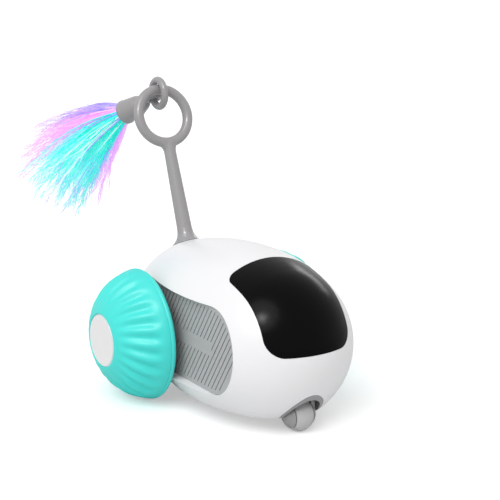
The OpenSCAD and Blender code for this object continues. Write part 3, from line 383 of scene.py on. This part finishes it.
def makeWheel(side, sign):
    size = wheelSizes
    outline = wheelOutline(size)
    count = len(outline)
    points, skin = [], []
    for j in range(size["turns"]):
        angle = 2 * math.pi * j / size["turns"]
        for radius, x, dome in outline:
            points.append((sign * x, radius * math.sin(angle), size["axleZ"] + radius * math.cos(angle)))
            skin.append(dome)
    faces = []
    for j in range(size["turns"]):
        k = (j + 1) % size["turns"]
        for i in range(count):
            m = (i + 1) % count
            face = (j * count + i, j * count + m, k * count + m, k * count + i)
            faces.append(face if sign < 0 else face[::-1])
    mesh = bpy.data.meshes.new("wheelDome" + side)
    mesh.from_pydata(points, [], faces)
    mesh.attributes.new("dome", "FLOAT", "POINT").data.foreach_set("value", skin)
    work = bmesh.new()
    work.from_mesh(mesh)
    bmesh.ops.recalc_face_normals(work, faces=work.faces)
    work.to_mesh(mesh)
    work.free()
    obj = addMesh("wheelDome" + side, mesh)
    applyTree(obj, fluteTree, {
        "Flutes": float(size["flutes"]), "Depth": size["depth"], "Swirl": size["swirl"],
        "Axle": size["axleZ"], "Rim": size["outerR"], "Material": materials["wheel_teal"]})
    obj.data.shade_smooth()
    obj.data.set_sharp_from_angle(angle=math.radians(size["sharp"]))
    stand(obj, "wheel_" + side.lower())


makeWheel("Right", -1)
makeWheel("Left", 1)
print("stage: wheels")


strandSizes = {
    "girth": 0.00036, "tipShare": 0.18, "spacing": 0.0019, "barb": 0.0075, "lean": 0.36,
    "barbGirth": 0.03, "barbFrom": (0.08, 0.55), "barbShort": 0.25, "barbChance": (0.35, 1.0),
}


def makeStrandTree():  # a tapering tube along each strand, with barbs that lean outwards
    size = strandSizes
    inputs = [("Geometry", shape, None), ("Girth", number, 0.0001), ("Spacing", number, 0.0015),
              ("Barb", number, 0.004), ("Lean", number, 0.4), ("Seed", "NodeSocketInt", 3),
              ("Material", "NodeSocketMaterial", None)]
    g, given, made = newTree("downyStrands", "GeometryNodeTree", inputs, [("Geometry", shape)])
    reach = g.node("GeometryNodeInputNamedAttribute", data_type="FLOAT")
    g.put(reach, Name="reach")
    curve = g.node("GeometryNodeMeshToCurve")
    g.feed(curve.inputs[0], given.outputs["Geometry"])
    taper = g.ramp(reach.outputs[0], 0.0, 1.0, 1.0, size["tipShare"])
    thick = g.calc("MULTIPLY", given.outputs["Girth"], taper)
    ring = g.node("GeometryNodeCurvePrimitiveCircle")
    g.put(ring, Resolution=3, Radius=1.0)
    tube = g.node("GeometryNodeCurveToMesh")
    g.put(tube, Curve=curve.outputs[0], Profile_Curve=ring.outputs[0], Scale=thick)
    beads = g.node("GeometryNodeCurveToPoints", mode="LENGTH")
    g.put(beads, Curve=curve.outputs[0], Length=given.outputs["Spacing"])
    wild = g.node("FunctionNodeRandomValue", data_type="FLOAT_VECTOR")
    g.put(wild, Min=(-1, -1, -1), Max=(1, 1, 1), Seed=given.outputs["Seed"])
    square = g.vector("CROSS_PRODUCT", wild.outputs[0], beads.outputs["Tangent"])
    aside = g.vector("NORMALIZE", square.outputs[0])
    leaning = g.vector("SCALE", aside.outputs[0])
    g.feed(leaning.inputs["Scale"], given.outputs["Lean"])
    heading = g.vector("ADD", beads.outputs["Tangent"], leaning.outputs[0])
    turned = g.node("FunctionNodeAlignRotationToVector", axis="Z")
    g.put(turned, Vector=heading.outputs[0])
    spike = g.node("GeometryNodeMeshCone", fill_type="NONE")
    g.put(spike, Vertices=3, Radius_Top=0.0, Radius_Bottom=size["barbGirth"], Depth=1.0)
    chance = g.node("FunctionNodeRandomValue", data_type="FLOAT")
    g.put(chance, Min=size["barbChance"][0], Max=size["barbChance"][1], Seed=given.outputs["Seed"])
    grown = g.ramp(reach.outputs[0], *size["barbFrom"], size["barbShort"], 1.0)
    length = g.calc("MULTIPLY", given.outputs["Barb"], grown)
    scale = g.calc("MULTIPLY", length, chance.outputs[1])
    spread = g.node("GeometryNodeInstanceOnPoints")
    g.put(spread, Points=beads.outputs[0], Instance=spike.outputs[0], Rotation=turned.outputs[0], Scale=scale)
    both = g.node("GeometryNodeJoinGeometry")
    g.feed(both.inputs[0], tube.outputs[0])
    g.feed(both.inputs[0], spread.outputs[0])
    whole = g.node("GeometryNodeRealizeInstances")
    g.feed(whole.inputs[0], both.outputs[0])
    dressed = g.node("GeometryNodeSetMaterial")
    g.put(dressed, Geometry=whole.outputs[0], Material=given.outputs["Material"])
    g.feed(made.inputs[0], dressed.outputs[0])
    return g.tree


featherLook = {
    "streak": 900.0, "streakFrom": (0.45, 0.8), "streakMost": 0.3, "streakColour": (0.9, 0.92, 1.0, 1),
    # glow is a painted glow: the strands give off light in their own colour, standing in for the light lost
    # where they shade each other
    "roughness": 0.7, "glow": 0.3, "specular": 0.2,
}


def makeFeatherMaterial(name):
    look = featherLook
    mat = bpy.data.materials.new(name)
    mat.use_nodes = True
    mat.node_tree.nodes.clear()
    g = Graph(mat.node_tree)
    tint = g.node("ShaderNodeAttribute", attribute_name="tint")
    place = g.node("ShaderNodeTexCoord").outputs["Object"]
    streak = g.ramp(g.noise(place, look["streak"], 2.0), *look["streakFrom"], 0.0, look["streakMost"])
    colour = g.blend(streak, tint.outputs["Color"], look["streakColour"])
    shader = g.node("ShaderNodeBsdfPrincipled")
    # painted glow: each strand emits its own colour at the glow strength, lifting it where the strands shade
    # each other
    g.put(shader, Base_Color=colour, Roughness=look["roughness"],
          Emission_Color=colour, Emission_Strength=look["glow"])
    shader.inputs["Specular IOR Level"].default_value = look["specular"]
    g.feed(g.node("ShaderNodeOutputMaterial").inputs[0], shader.outputs[0])
    return mat


plume = {
    "eye": Vector((0.0, 0.0503893, 0.1201393)),  # where the lure hangs on the link
    "along": Vector((-0.3746, 0.8187, -0.4353)), "up": Vector((0.0, 0.4695, 0.8829)),
    "apex": 0.01114, "root": 0.0072, "spread": 28.0, "length": 0.0475, "droop": 0.013, "trim": 0.08,
    "steps": 16, "wave": 0.0011, "curl": 4.2, "sway": 1.6, "phase": 6.28,
    "tipColour": (0.92, 0.88, 1.0), "tipShare": 0.25,
}
colours = {
    "violet": (0.44, 0.38, 0.95), "pink": (0.87, 0.42, 0.96), "teal": (0.0, 0.84, 0.69),
    "cyan": (0.05, 0.84, 0.8), "blue": (0.3, 0.34, 0.92), "blush": (0.9, 0.6, 0.97),
    "pale": (0.7, 0.96, 0.93),
}
bands = {  # rows give the lowest and highest place up the fan, then across it
    "feathers_violet": {
        "label": "feathersViolet", "strands": 56, "seed": 5, "reach": (0.5, 0.95),
        "rows": [(0.62, 1.0, -1.0, 1.0)],
        "tints": ["violet", "violet", "violet", "pink"]},
    "feathers_pink": {
        "label": "feathersPink", "strands": 140, "seed": 6, "reach": (0.66, 1.14),
        "rows": [(0.06, 0.68, -1.0, 1.0), (0.06, 0.68, -1.0, 0.2), (-1.0, -0.25, 0.2, 1.0)],
        "tints": ["pink", "pink", "pink", "blush"]},
    "feathers_teal": {
        "label": "feathersTeal", "strands": 230, "seed": 7, "reach": (0.62, 1.05),
        "rows": [(-0.95, 0.13, -1.0, 0.28)],
        "tints": ["teal"] * 7 + ["cyan"] * 4 + ["pale"] * 2 + ["blue"]},
}
strandTree = makeStrandTree()


def makeFeathers(name, band):
    chance = random.Random(band["seed"])
    along, up = plume["along"].normalized(), plume["up"].normalized()
    across = along.cross(up)
    apex = plume["eye"] + along * plume["apex"]
    points, edges, reach, tint = [], [], [], []
    for index in range(band["strands"]):
        low, high, near, far = band["rows"][index % len(band["rows"])]
        v = chance.uniform(low, high)
        u = chance.uniform(near, far)
        side, lift = u * math.sqrt(1 - v * v / 2), v * math.sqrt(1 - u * u / 2)
        away = math.hypot(side, lift)
        tilt = math.radians(plume["spread"]) * away
        heading = along * math.cos(tilt) + (across * side + up * lift) * (math.sin(tilt) / max(away, 1e-6))
        length = plume["length"] * chance.uniform(*band["reach"]) * (1 + plume["trim"] * min(v, 0))
        colour = Vector(colours[chance.choice(band["tints"])])
        bend = Vector((chance.gauss(0, 1), chance.gauss(0, 1), chance.gauss(0, 1))) * plume["wave"]
        phase = chance.uniform(0, plume["phase"])
        for i in range(plume["steps"]):
            share = i / (plume["steps"] - 1)
            gone = plume["root"] + length * share
            drop = plume["droop"] * (length * share / plume["length"]) ** 2
            sway = bend * (share * math.sin(phase + plume["curl"] * share) * plume["sway"])
            points.append(apex + heading * gone + Vector((0, 0, -drop)) + sway)
            reach.append(share)
            pale = colour.lerp(Vector(plume["tipColour"]), plume["tipShare"] * share ** 3)
            tint.extend((*pale, 1.0))
            if i:
                edges.append((len(points) - 2, len(points) - 1))
    mesh = bpy.data.meshes.new(band["label"])
    mesh.from_pydata(points, edges, [])
    mesh.attributes.new("reach", "FLOAT", "POINT").data.foreach_set("value", reach)
    mesh.attributes.new("tint", "FLOAT_COLOR", "POINT").data.foreach_set("color", tint)
    obj = addMesh(band["label"], mesh)
    size = strandSizes
    applyTree(obj, strandTree, {
        "Girth": size["girth"], "Spacing": size["spacing"], "Barb": size["barb"], "Lean": size["lean"],
        "Seed": band["seed"], "Material": makeFeatherMaterial(band["label"])})
    stand(obj, name)


for name, band in bands.items():
    makeFeathers(name, band)
print("stage: feathers")

floorLook = {"half": 4, "colour": (0.8, 0.8, 0.8, 1), "seenGlow": 0.38, "specular": 0.05,
             "grain": 60.0, "grainFrom": (0.2, 0.8), "roughness": (0.7, 0.8)}
half = floorLook["half"]
floorMesh = bpy.data.meshes.new("floorSheet")
corners = [(-half, -half, 0), (half, -half, 0), (half, half, 0), (-half, half, 0)]
floorMesh.from_pydata(corners, [], [(0, 1, 2, 3)])
floor = addMesh("floorSheet", floorMesh)
floorMat = bpy.data.materials.new("paleFloor")
floorMat.use_nodes = True
floorMat.node_tree.nodes.clear()
g = Graph(floorMat.node_tree)
cameraRay = g.node("ShaderNodeLightPath").outputs["Is Camera Ray"]
place = g.node("ShaderNodeTexCoord").outputs["Object"]
matte = g.node("ShaderNodeBsdfPrincipled")
grain = g.ramp(g.noise(place, floorLook["grain"]), *floorLook["grainFrom"], *floorLook["roughness"])
g.put(matte, Base_Color=floorLook["colour"], Roughness=grain)
seenGlow = g.calc("MULTIPLY", cameraRay, floorLook["seenGlow"])  # white in the picture only
g.put(matte, Emission_Color=(1, 1, 1, 1), Emission_Strength=seenGlow)
matte.inputs["Specular IOR Level"].default_value = floorLook["specular"]
g.feed(g.node("ShaderNodeOutputMaterial").inputs[0], matte.outputs[0])
floorMesh.materials.append(floorMat)

skyGlow = {"ambient": 0.56, "seen": 1.0}  # what lights the part, and what camera, gloss and glass see
world = bpy.data.worlds.new("studio")
scene.world = world
world.use_nodes = True
world.node_tree.nodes.clear()
g = Graph(world.node_tree)
rays = g.node("ShaderNodeLightPath")
seen = g.calc("MAXIMUM", rays.outputs["Is Camera Ray"],
              g.calc("MAXIMUM", rays.outputs["Is Glossy Ray"], rays.outputs["Is Transmission Ray"]))
glow = g.node("ShaderNodeBackground")
g.feed(glow.inputs[0], (1, 1, 1, 1))
g.feed(glow.inputs[1], g.ramp(seen, 0.0, 1.0, skyGlow["ambient"], skyGlow["seen"]))
g.feed(g.node("ShaderNodeOutputWorld").inputs[0], glow.outputs[0])

lamps = {
    "keySun": {"kind": "SUN", "at": (-0.7, -0.45, 1.1), "aim": (0, 0, 0), "size": 0.8, "power": 1.65},
    "roundGlint": {"kind": "AREA", "at": (-0.489, -0.419, 0.733), "aim": (0, -0.07, 0.05),
                   "size": 0.14, "tall": 0.14, "power": 3.2},  # round highlight on the visor
    "edgeGlint": {"kind": "AREA", "at": (0.72, 0.36, 0.38), "aim": (0, -0.07, 0.05),
                  "size": 0.42, "tall": 0.12, "power": 0.8},  # highlight along the visor's far edge
}
for name, lamp in lamps.items():
    data = bpy.data.lights.new(name, lamp["kind"])
    data.energy = lamp["power"]
    if lamp["kind"] == "SUN":
        data.angle = lamp["size"]
    else:
        data.shape = "RECTANGLE"
        data.size = lamp["size"]
        data.size_y = lamp["tall"]
    light = bpy.data.objects.new(name, data)
    scene.collection.objects.link(light)
    light.location = lamp["at"]
    light.visible_diffuse = lamp["kind"] == "SUN"  # the glints show in gloss alone
    light.rotation_euler = (Vector(lamp["aim"]) - Vector(lamp["at"])).to_track_quat("-Z", "Y").to_euler()

shot = {"at": (-0.31709, -0.54384, 0.21534), "look": (0.5117, 0.8252, -0.2393), "lens": 108.0,
        "sensor": 36.0, "nearest": 0.01}
lensData = bpy.data.cameras.new("photoCamera")
lensData.lens = shot["lens"]
lensData.sensor_width = shot["sensor"]
lensData.clip_start = shot["nearest"]
camera = bpy.data.objects.new("photoCamera", lensData)
scene.collection.objects.link(camera)
camera.location = shot["at"]
camera.rotation_euler = Vector(shot["look"]).to_track_quat("-Z", "Y").to_euler()
scene.camera = camera
scene.view_settings.view_transform = "Standard"
print("stage: studio")
